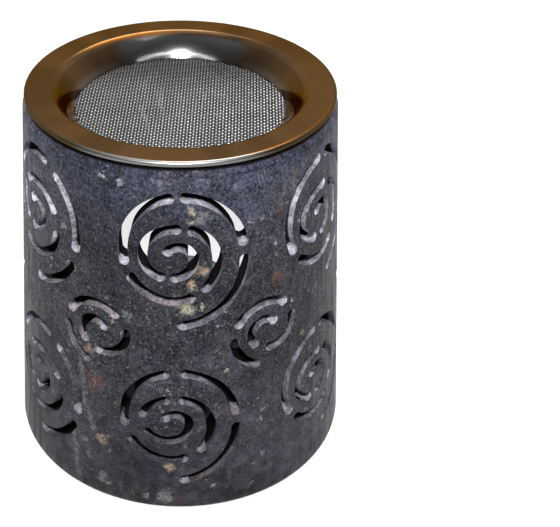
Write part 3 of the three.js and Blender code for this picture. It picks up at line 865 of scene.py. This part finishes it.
def carving_tree():
    kinds = {"Outlines": "NodeSocketObject"}
    kinds.update(dict.fromkeys(("Slot Stone", "Arch Stone", "Face Stone"), "NodeSocketMaterial"))
    sizes = ("Foot Radius", "Top Radius", "Height", "Bore Radius", "Arch Reach", "Edge")
    tree, sockets, result = geometry_tree("carve_slots", kinds, sizes)
    flat = through("GeometryNodeObjectInfo", {"Object": sockets["Outlines"]}, "Geometry")
    feeds = {"Geometry": raise_towers(tree, flat), "Position": wrapped_place(tree, sockets)}
    cutters = through("GeometryNodeSetPosition", feeds)
    cutters = through("GeometryNodeMergeByDistance", {0: cutters, "Distance": SAME_POINT})
    of_arch = maths("COMPARE", mark(tree, "reach"), sockets["Arch Reach"])
    feed(of_arch.node, {2: SAME_REACH})
    cutters = painted(painted(cutters, sockets["Slot Stone"]), sockets["Arch Stone"], of_arch)
    feeds = {"Mesh 1": sockets["Geometry"], "Mesh 2": cutters}
    carved = through("GeometryNodeMeshBoolean", feeds, operation="DIFFERENCE", solver="MANIFOLD")
    whole = through("GeometryNodeRealizeInstances", {0: carved})
    place = put(tree, "GeometryNodeInputPosition").outputs[0]
    under_face = minus(face_radius(sockets, split(place)["Z"]), off_axis(place))
    on_edge = maths("LESS_THAN", under_face, sockets["Edge"])
    tree.links.new(painted(whole, sockets["Face Stone"], on_edge), result)
    return tree


carving = carving_tree()
print("tree", carving.name, "with", len(carving.nodes), "nodes")

# %% Carve the stone
EASED_EDGE = 0.5 * MM


def run_tree(piece, tree, values):
    """Runs a tree on a piece, and leaves the result as the piece's plain mesh."""
    modifier = piece.modifiers.new(tree.name, "NODES")
    modifier.node_group = tree
    for socket in tree.interface.items_tree:
        if socket.in_out == "INPUT" and socket.name in values:
            modifier[socket.identifier] = values[socket.name]
    ready = piece.evaluated_get(bpy.context.evaluated_depsgraph_get())
    mesh = bpy.data.meshes.new_from_object(ready)
    piece.modifiers.clear()
    mesh.name = piece.name
    piece.data = mesh
    return mesh


def triangles(mesh):
    mesh.calc_loop_triangles()
    return len(mesh.loop_triangles)


carved = run_tree(blank, carving, {
    "Outlines": outlines, "Slot Stone": slot_stone, "Arch Stone": raw, "Face Stone": polished,
    "Foot Radius": FOOT_RADIUS, "Top Radius": TOP_RADIUS, "Height": STONE_HEIGHT,
    "Bore Radius": BORE_RADIUS, "Arch Reach": ARCH_REACH, "Edge": EASED_EDGE,
})
bpy.data.objects.remove(outlines)
carved.shade_smooth()
carved.set_sharp_from_angle(angle=math.radians(28))
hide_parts("stone_body")
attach(blank, "stone")
print("carved stone:", triangles(carved), "triangles,", [m.name for m in carved.materials])

# %% [markdown]
# ## Sheet metal
# The sieve is pressed from thin sheet: a rolled edge, a flat flange, a funnel and a foot that carries the
# wire. Spinning leaves fine rings, which are noise along the radius only. One shader group gives every
# metal here its rings, smudges and nicks.

# %% Metal pattern and plain metals
def metal_pattern():
    tree, place, out = masks_group("worked_metal", ("Radius", "Rings", "Smudge", "Nick"))
    radius = off_axis(place)
    feed(out, {
        "Radius": radius,
        "Rings": noise(joined(X=radius, Z=split(place)["Z"]), 2600, 3, 0.7),
        "Smudge": ramp(noise(place, 70, 4, 0.6, 0.5), 0.35, 0.7),
        "Nick": ramp(noise(place, 650, 2, 0.6), 0.66, 0.74),
    })
    return tree


worked_metal = metal_pattern()


def metal(name, tone, dull, smudged, roughness, depth=0.01 * MM):
    """A metal that is duller and rougher in its smudges. Its rings and nicks are a fine relief."""
    material, tree, shader = new_material(name)
    place, masks = use_group(tree, worked_metal)
    look = blend(times(masks["Smudge"], smudged), colour(*tone), colour(*dull))
    feed(shader, {"Base Color": look, "Metallic": 1.0})
    feed(shader, {"Roughness": ramp(masks["Smudge"], 0, 1, *roughness)})
    rough_up(shader, plus(masks["Rings"], masks["Nick"]), depth)
    return material, shader, place, masks


def fed_by(shader, name):
    return shader.inputs[name].links[0].from_socket


plain_steel = metal("plain_steel", (0.52, 0.53, 0.54), (0.34, 0.34, 0.35), 0.7, (0.28, 0.45))[0]
tin = metal("tinplate", (0.66, 0.66, 0.65), (0.45, 0.45, 0.44), 0.6, (0.22, 0.4))[0]
print("metals:", plain_steel.name, tin.name)

# %% [markdown]
# The ring's brown is partly heat tint and partly a painted reflection of a brown room, and so are its
# darker patches. The amber lines at its lip and along the roll are painted reflections. The roll is olive,
# with a painted highlight in front and a painted dark reflection under it. The funnel is smoother and
# carries a painted dark reflection, and painted reflections of neutral steel lie at its back and round its
# foot.

# %% Heat tint and painted reflections on the ring
SIEVE_RADIUS = TOP_RADIUS - 0.4 * MM
MOUTH_RADIUS = SIEVE_RADIUS - 9 * MM
MESH_RADIUS = MOUTH_RADIUS - 5 * MM
FLANGE_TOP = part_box("sieve_ring")[1].z
DARK_HEAT_TINT_AND_REFLECTION = colour(0.14, 0.086, 0.047)
AMBER_REFLECTION = colour(0.42, 0.155, 0.022)
OLIVE = colour(0.15, 0.118, 0.075)
ROLL_HIGHLIGHT = colour(0.52, 0.52, 0.51)
STEEL_REFLECTION = colour(0.42, 0.43, 0.44)
STEEL_REFLECTION_DULL = colour(0.28, 0.285, 0.29)
BROWN_SHEEN = colour(0.62, 0.45, 0.32)
TO_FRONT = (-0.06, -0.998, 0)
TO_BACK = (0, 1, 0)
LIP_REFLECTION_WAY = (-0.5, 0.866, 0)
ROLL_REFLECTION_WAY = (0.77, -0.64, 0)


def line_at(radius, middle, far):
    """A thin line round the axis."""
    return fade(maths("ABSOLUTE", minus(radius, middle)), 0.1 * MM, far)


# The brown is partly heat tint and partly a painted reflection of a brown room, and so are its darker
# patches.
bronzed, shader, place, masks = metal(
    "bronzed_steel", (0.26, 0.145, 0.068), (0.19, 0.106, 0.050), 0.3, (0.15, 0.19), 0.003 * MM)
radius = masks["Radius"]
way = vectors("NORMALIZE", flattened(place))
facing = partial(measure, "DOT_PRODUCT", way)
heat_tint_and_reflection_patches = ramp(noise(way, 2.4, 1), 0.40, 0.62, 0.0, 0.6)
look = blend(heat_tint_and_reflection_patches, fed_by(shader, "Base Color"), DARK_HEAT_TINT_AND_REFLECTION)
in_funnel = fade(radius, MOUTH_RADIUS - 0.9 * MM, MOUTH_RADIUS + 0.4 * MM)
# A painted dark reflection of the room in front darkens the funnel.
look = tinted(look, ramp(in_funnel, 0, 1, 1.0, 0.68))

at_edge = ramp(radius, SIEVE_RADIUS - 1.0 * MM, SIEVE_RADIUS - 0.4 * MM)
# The roll: olive, with a painted highlight in front and a painted dark reflection on its underside.
roll = blend(ramp(facing(TO_FRONT), 0.78, 0.95), OLIVE, ROLL_HIGHLIGHT)
dark_reflection_under_roll = ramp(split(place)["Z"], FLANGE_TOP - 0.85 * MM, FLANGE_TOP - 0.45 * MM, 0.35, 1.0)
look = blend(at_edge, look, tinted(roll, dark_reflection_under_roll))

# Painted reflections of neutral steel at the back of the funnel and round its foot.
back_steel_reflection = times(ramp(facing(TO_BACK), 0.76, 0.95), in_funnel)
foot_steel_reflection = fade(radius, MESH_RADIUS + 0.4 * MM, MESH_RADIUS + 1.8 * MM, 0.75)
foot_steel_reflection = times(foot_steel_reflection, ramp(facing(TO_BACK), -0.3, 0.35, 1.0, 0.25))
look = blend(most(foot_steel_reflection, back_steel_reflection), look, blend(masks["Smudge"], STEEL_REFLECTION, STEEL_REFLECTION_DULL))

# Amber lines painted as reflections at the lip and along the roll, each on one side only.
lip_reflection = line_at(radius, MOUTH_RADIUS + 0.9 * MM, 0.6 * MM)
lip_reflection = times(lip_reflection, ramp(facing(LIP_REFLECTION_WAY), 0.86, 0.985))
roll_reflection = line_at(radius, SIEVE_RADIUS - 0.9 * MM, 0.4 * MM)
roll_reflection = times(roll_reflection, ramp(facing(ROLL_REFLECTION_WAY), 0.86, 0.98))
look = blend(most(lip_reflection, roll_reflection), look, AMBER_REFLECTION)

smoothed = times(ramp(in_funnel, 0, 1, 1.0, 0.68), ramp(back_steel_reflection, 0, 1, 1.0, 1.2))
polish = most(times(fed_by(shader, "Roughness"), smoothed), times(at_edge, 0.3))
feed(shader, {"Base Color": look, "Roughness": polish, "Specular Tint": BROWN_SHEEN})
print("material", bronzed.name, "with", len(bronzed.node_tree.nodes), "nodes")

# %% [markdown]
# The ring is one outline swept round: along the flange, round the roll, back under the flange, down the
# outside of the funnel and up its inside. The wall bulges a little. Under the foot a channel ring is
# crimped on, which holds the cloth.

# %% The sieve's ring and the clamp ring
SHEET = 0.6 * MM
ROLL = 0.9 * MM
FUNNEL_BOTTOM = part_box("sieve_ring")[0].z
NET_LOW, NET_HIGH = (corner.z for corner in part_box("sieve_mesh"))
MOUTH_ROUNDING = 2 * MM
FOOT_LIP = 1.7 * MM
LIP_NORMAL = 124
FUNNEL_BULGE = 0.1
CLAMP_GAP = 0.3 * MM
CLAMP_EDGE = 0.1 * MM


def funnel_wall(foot, top):
    """Points from the foot up to the lip, without the lip, on a wall that bulges a little."""
    low, high = Vector(foot), Vector(top)
    out = (high - low).orthogonal() * FUNNEL_BULGE
    knee = (low + high) / 2 + Vector((-abs(out.x), abs(out.y)))
    shares = [i / 10 for i in range(10)]
    return [tuple((1 - s) ** 2 * low + 2 * s * (1 - s) * knee + s**2 * high) for s in shares]


def sieve_outline():
    mouth = MOUTH_RADIUS + MOUTH_ROUNDING
    bend = FLANGE_TOP - MOUTH_ROUNDING
    edge = SIEVE_RADIUS - ROLL
    points = between((mouth, FLANGE_TOP), (edge, FLANGE_TOP), 6)
    points += arc(edge, FLANGE_TOP - ROLL, ROLL, 90, -190, 22)
    points += [(edge - ROLL * 0.97, FLANGE_TOP - SHEET)]
    points += between((edge - 1.5 * ROLL, FLANGE_TOP - SHEET), (mouth, FLANGE_TOP - SHEET), 5)
    under = arc(mouth, bend, MOUTH_ROUNDING - SHEET, 90, LIP_NORMAL, 5)
    points += under + funnel_wall((MESH_RADIUS + SHEET, FUNNEL_BOTTOM + SHEET), under[-1])[:0:-1]
    points += arc(MESH_RADIUS + FOOT_LIP - SHEET / 2, FUNNEL_BOTTOM + SHEET / 2, SHEET / 2, 90, -90, 5)
    lip = arc(mouth, bend, MOUTH_ROUNDING, LIP_NORMAL, 90, 7)[:-1]
    return points + funnel_wall((MESH_RADIUS, FUNNEL_BOTTOM), lip[0]) + lip


def clamp_outline():
    inside = MESH_RADIUS + FOOT_LIP + CLAMP_GAP
    plate = NET_LOW - CLAMP_GAP
    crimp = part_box("mesh_clamp_ring")[1].z
    points = [(MESH_RADIUS + CLAMP_EDGE, plate - SHEET)]
    points += arc(inside, plate, SHEET, -90, 0, 4)
    points += arc(inside + SHEET / 2, crimp - SHEET / 2, SHEET / 2, 0, 180, 4)
    points += [(inside, plate), (MESH_RADIUS + CLAMP_EDGE, plate), (MESH_RADIUS, plate - SHEET / 2)]
    return points


def finish_piece(name, mesh, material, body, nodes, sharp=35):
    """Makes a mesh a piece with a finish and a body, in the place of the CAD nodes that it stands for."""
    mesh.materials.clear()
    mesh.materials.append(material)
    mesh.shade_smooth()
    mesh.set_sharp_from_angle(angle=math.radians(sharp))
    piece = new_object(name, mesh)
    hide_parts(*nodes)
    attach(piece, body)
    print(name, "has", triangles(mesh), "triangles")


ring = turn("pressed_sieve_ring", sieve_outline(), 160, closed=True)
finish_piece("pressed_sieve_ring", ring, bronzed, "sieve", ["sieve_ring"])
clamp = turn("crimped_clamp_ring", clamp_outline(), 128, closed=True)
finish_piece("crimped_clamp_ring", clamp, plain_steel, "sieve", ["mesh_clamp_ring"])

# %% [markdown]
# ## Wire cloth
# The sieve holds plain-woven cloth: each wire goes over one and under the next, and the other set does the
# opposite. A picture of a weave would look flat from the side, so Geometry Nodes weave it: lines at an even
# pitch, a wave along each, a round cut, and a thin round section. The warp carries a painted highlight
# where it rises, the weft is painted duller as a shaded copy, both have painted shade below, and painted
# shade darkens the back of the cloth.

# %% Finishes for the wires
CLOTH_MIDDLE = (NET_LOW + NET_HIGH) / 2
WIRE_SHADE = grey(0.03)
KNUCKLE = 0.12 * MM


def wire_finish(name, tone, dull, shade_height):
    """Wire with a painted highlight where it rises over another, painted shade below that height, and
    painted shade towards the back of the cloth.
    """
    material, shader, place, _ = metal(name, tone, dull, 0.6, (0.36, 0.46))
    spot = split(place)
    # Painted shade: the cloth is a little brighter at the front and darker towards the back.
    front_to_back_shade = ramp(spot["Y"], -26 * MM, 6 * MM, 1.15, 0.95)
    front_to_back_shade = times(front_to_back_shade, ramp(spot["Y"], 6 * MM, 26 * MM, 1.0, 0.4))
    look = tinted(fed_by(shader, "Base Color"), front_to_back_shade)
    # A painted highlight where a wire rises, and painted shade below.
    knuckle_highlight = ramp(minus(spot["Z"], CLOTH_MIDDLE), shade_height, shade_height + KNUCKLE)
    feed(shader, {"Base Color": blend(knuckle_highlight, WIRE_SHADE, look)})
    return material


# The weft is painted duller than the warp, as a shaded copy of it.
warp_steel = wire_finish("warp_wire_steel", (0.82, 0.82, 0.80), (0.68, 0.68, 0.665), 0.155 * MM)
weft_steel = wire_finish("weft_wire_steel", (0.40, 0.40, 0.39), (0.30, 0.30, 0.293), 0.165 * MM)
print("wires:", warp_steel.name, weft_steel.name)

# %% The weaving tree
WIRE_SIDES = 5


def weaving_tree():
    kinds = {"Wires": "NodeSocketInt", "Points": "NodeSocketInt", "Wire": "NodeSocketMaterial"}
    sizes = ("Pitch", "Wire Radius", "Cloth Radius", "Wave", "Quarter Turn", "Lie")
    tree, sockets, result = geometry_tree("weave_cloth", kinds, sizes)
    pitch, limit = sockets["Pitch"], sockets["Cloth Radius"]
    reach = times(pitch, times(minus(sockets["Wires"], 1), 0.5))
    back = times(reach, -1.0)
    line = through("GeometryNodeCurvePrimitiveLine", {"Start": joined(X=back), "End": joined(X=reach)})
    line = through("GeometryNodeResampleCurve", {"Curve": line, "Count": sockets["Points"]})
    feeds = {"Count": sockets["Wires"], "Start Location": joined(Y=back), "Offset": joined(Y=pitch)}
    row = through("GeometryNodeMeshLine", feeds)
    wires = through("GeometryNodeInstanceOnPoints", {"Points": row, "Instance": line})
    wires = through("GeometryNodeRealizeInstances", {0: wires})
    spot = split(put(tree, "GeometryNodeInputPosition").outputs[0])
    across = maths("DIVIDE", plus(spot["X"], reach), pitch)
    number = maths("ROUND", maths("DIVIDE", plus(spot["Y"], reach), pitch))
    wave = times(maths("COSINE", times(plus(across, number), math.pi)), sockets["Wave"])
    away = plus(times(spot["X"], spot["X"]), times(spot["Y"], spot["Y"]))
    outside = maths("GREATER_THAN", away, times(limit, limit))
    kept = through("GeometryNodeDeleteGeometry", {"Geometry": wires, "Selection": outside}, domain="POINT")
    woven = through("GeometryNodeSetPosition", {"Geometry": kept, "Offset": joined(Z=wave)})
    feeds = {"Resolution": WIRE_SIDES, "Radius": sockets["Wire Radius"]}
    section = through("GeometryNodeCurvePrimitiveCircle", feeds)
    feeds = {"Curve": woven, "Profile Curve": section, "Fill Caps": True}
    drawn = through("GeometryNodeCurveToMesh", feeds)
    turned = joined(Z=plus(sockets["Quarter Turn"], sockets["Lie"]))
    drawn = through("GeometryNodeTransform", {"Geometry": drawn, "Rotation": turned})
    whole = through("GeometryNodeRealizeInstances", {0: drawn})
    tree.links.new(painted(whole, sockets["Wire"]), result)
    return tree


weaving = weaving_tree()
print("tree", weaving.name, "with", len(weaving.nodes), "nodes")

# %% Weave the cloth
PITCH = 0.88 * MM
WIRE = 0.215 * MM
WAVE = 0.14 * MM
LIE = math.radians(-3.0)
CLOTH_RADIUS = MESH_RADIUS + FOOT_LIP - 0.4 * MM
SAMPLES = 2


def weave(name, finish, quarter, wave):
    """One set of parallel wires, made a piece in the place of the net."""
    wires = 2 * int(CLOTH_RADIUS / PITCH) + 1
    piece = new_object(name, bpy.data.meshes.new(name))
    mesh = run_tree(piece, weaving, {
        "Wires": wires, "Points": SAMPLES * (wires - 1) + 1, "Wire": finish, "Pitch": PITCH,
        "Wire Radius": WIRE, "Cloth Radius": CLOTH_RADIUS, "Wave": wave, "Quarter Turn": quarter,
        "Lie": LIE,
    })
    bpy.data.objects.remove(piece)
    mesh.transform(Matrix.Translation((0, 0, CLOTH_MIDDLE)))
    finish_piece(name, mesh, finish, "sieve", ["sieve_mesh"], 180)


weave("wire_cloth_warp", warp_steel, 0.0, WAVE)
weave("wire_cloth_weft", weft_steel, math.pi / 2, -WAVE)

# %% [markdown]
# ## The tealight
# A clear cup with a thick base holds white wax with a cotton wick on a tin foot. Glass is a matter of real
# thickness: the cup is a closed wall, so light bends at each face. The wax dips towards the wick, as it
# does after it has been lit once. The wick has three twisted plies: a lobed section, turned as it rises.

# %% Glass, wax and cotton
glass, tree, shader = new_material("clear_glass")
smeared = ramp(noise(own_place(tree), 160, 4), 0.4, 0.75, 0.02, 0.09)
feed(shader, {"Base Color": colour(0.97, 0.98, 0.98), "Roughness": smeared})
feed(shader, {"Transmission Weight": 1.0, "IOR": 1.49})

wax, tree, shader = new_material("candle_wax")
place = own_place(tree)
cloudy = ramp(noise(place, 160, 4, 0.6), 0.35, 0.7)
look = blend(cloudy, colour(0.80, 0.81, 0.82), colour(0.88, 0.88, 0.87))
feed(shader, {"Base Color": look, "Roughness": 0.5})
feed(shader, {
    "Subsurface Weight": 0.15, "Subsurface Radius": (0.004, 0.003, 0.003), "Subsurface Scale": 1.0,
})
rough_up(shader, noise(place, 900, 3), 0.02 * MM)

cotton, tree, shader = new_material("cotton_wick")
strands = stretched(own_place(tree), (0.17 * MM, 0.17 * MM, 1.4 * MM), (0.3, 0.2, 0))
fibre = noise(strands, 1, 3)
look = blend(fibre, colour(0.55, 0.52, 0.45), colour(0.85, 0.83, 0.78))
feed(shader, {"Base Color": look, "Roughness": 0.9})
rough_up(shader, fibre, 0.05 * MM)
print("tealight materials:", glass.name, wax.name, cotton.name)

# %% The cup and the wax
cup_low, cup_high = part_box("tealight_cup")
wax_low, wax_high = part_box("tealight_wax")
foot_low, foot_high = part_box("wick_sustainer")
CUP_CENTRE = (0, (cup_low.y + cup_high.y) / 2, 0)
CUP_RADIUS = 19.3 * MM
CUP_WALL = 1.5 * MM
CUP_BASE = 5 * MM
CUP_FOOT = 2.4 * MM
WICK_RADIUS = 0.8 * MM
WAX_DIP = 0.9 * MM
WAX_STEPS = 16
CLING = 0.05 * MM
SEAT_GAP = 0.3 * MM
FOOT_SHEET = 0.4 * MM


def cup_outline():
    inside = CUP_RADIUS - CUP_WALL
    lip = CUP_WALL / 2
    floor = cup_low.z + CUP_BASE
    points = [(0, cup_low.z + 0.6 * MM)]
    points += arc(0.7 * CUP_RADIUS, cup_low.z + 0.3 * MM, 0.3 * MM, 180, 270, 3)
    points += arc(CUP_RADIUS - CUP_FOOT, cup_low.z + CUP_FOOT, CUP_FOOT, -90, 0, 8)
    points += between((CUP_RADIUS, cup_low.z + CUP_FOOT + 1 * MM), (CUP_RADIUS, cup_high.z - lip), 6)
    points += arc(inside + lip, cup_high.z - lip, lip, 0, 180, 8)
    points += [(inside, floor + 0.2 * MM), (inside - 0.2 * MM, floor), (0, floor)]
    return points


def wax_outline():
    radius = CUP_RADIUS - CUP_WALL + CLING
    bore = WICK_RADIUS + SEAT_GAP
    disc = foot_high.x + SEAT_GAP
    plate = foot_low.z + FOOT_SHEET + SEAT_GAP
    collar_top = foot_high.z + SEAT_GAP
    collar = WICK_RADIUS + 1.0 * MM
    base = cup_low.z + CUP_BASE - CLING
    points = [(disc, base), (radius - 0.3 * MM, base), (radius, base + 0.3 * MM)]
    points += between((radius, wax_low.z + 2 * MM), (radius, wax_high.z - 0.1 * MM), 6)
    for i in range(WAX_STEPS + 1):
        share = i / WAX_STEPS
        reach = radius + (bore - radius) * share
        dip = WAX_DIP * math.sin(math.pi * min(1, share * 1.15)) ** 0.7 * (0.25 + 0.75 * share)
        points.append((reach, wax_high.z - dip))
    points += [(bore, collar_top), (collar, collar_top), (collar, plate), (disc, plate)]
    return points


cup = turn("clear_tealight_cup", cup_outline(), 96, centre=CUP_CENTRE)
finish_piece("clear_tealight_cup", cup, glass, "tealight", ["tealight_cup"], 50)
candle = turn("poured_wax", wax_outline(), 96, closed=True, centre=CUP_CENTRE)
finish_piece("poured_wax", candle, wax, "tealight", ["tealight_wax"])

# %% The wick and its foot
wick_low, wick_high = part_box("tealight_wick")
WICK_STOREYS = 60
WICK_SIDES = 24
WICK_TURNS = 3.2


def wick_mesh():
    """Three plies: a lobed section that turns as it rises and thins at the tip."""
    shape = bmesh.new()
    rings = []
    for i in range(WICK_STOREYS + 1):
        share = i / WICK_STOREYS
        height = wick_low.z + (wick_high.z - wick_low.z) * share
        twist = 2 * math.pi * WICK_TURNS * share
        slim = 1 - 0.35 * max(0, share - 0.93) / 0.07
        ring = []
        for k in range(WICK_SIDES):
            angle = 2 * math.pi * k / WICK_SIDES
            radius = WICK_RADIUS * slim * (0.8 + 0.18 * math.cos(3 * (angle - twist)))
            ring.append(shape.verts.new((radius * math.cos(angle), radius * math.sin(angle), height)))
        rings.append(ring)
    for low, high in zip(rings, rings[1:]):
        for k in range(WICK_SIDES):
            j = (k + 1) % WICK_SIDES
            shape.faces.new((low[k], low[j], high[j], high[k]))
    shape.faces.new(rings[0][::-1])
    shape.faces.new(rings[-1])
    return as_mesh("twisted_wick", shape, CUP_CENTRE)


def foot_outline():
    bore = WICK_RADIUS + SEAT_GAP
    plate = foot_low.z + FOOT_SHEET
    collar = bore + 0.3 * MM
    edge = foot_high.x
    points = [(0, foot_low.z), (edge - 0.1 * MM, foot_low.z), (edge, foot_low.z + 0.2 * MM)]
    points += [(edge - 0.1 * MM, plate), (collar + 0.5 * MM, plate)]
    points += arc(collar + 0.5 * MM, plate + 0.5 * MM, 0.5 * MM, 270, 180, 4)[1:]
    points += [(collar, foot_high.z), (bore, foot_high.z), (bore, plate), (0, plate)]
    return points


finish_piece("twisted_wick", wick_mesh(), cotton, "tealight", ["tealight_wick"], 60)
foot = turn("tin_wick_foot", foot_outline(), 48, centre=CUP_CENTRE)
finish_piece("tin_wick_foot", foot, tin, "tealight", ["wick_sustainer"])
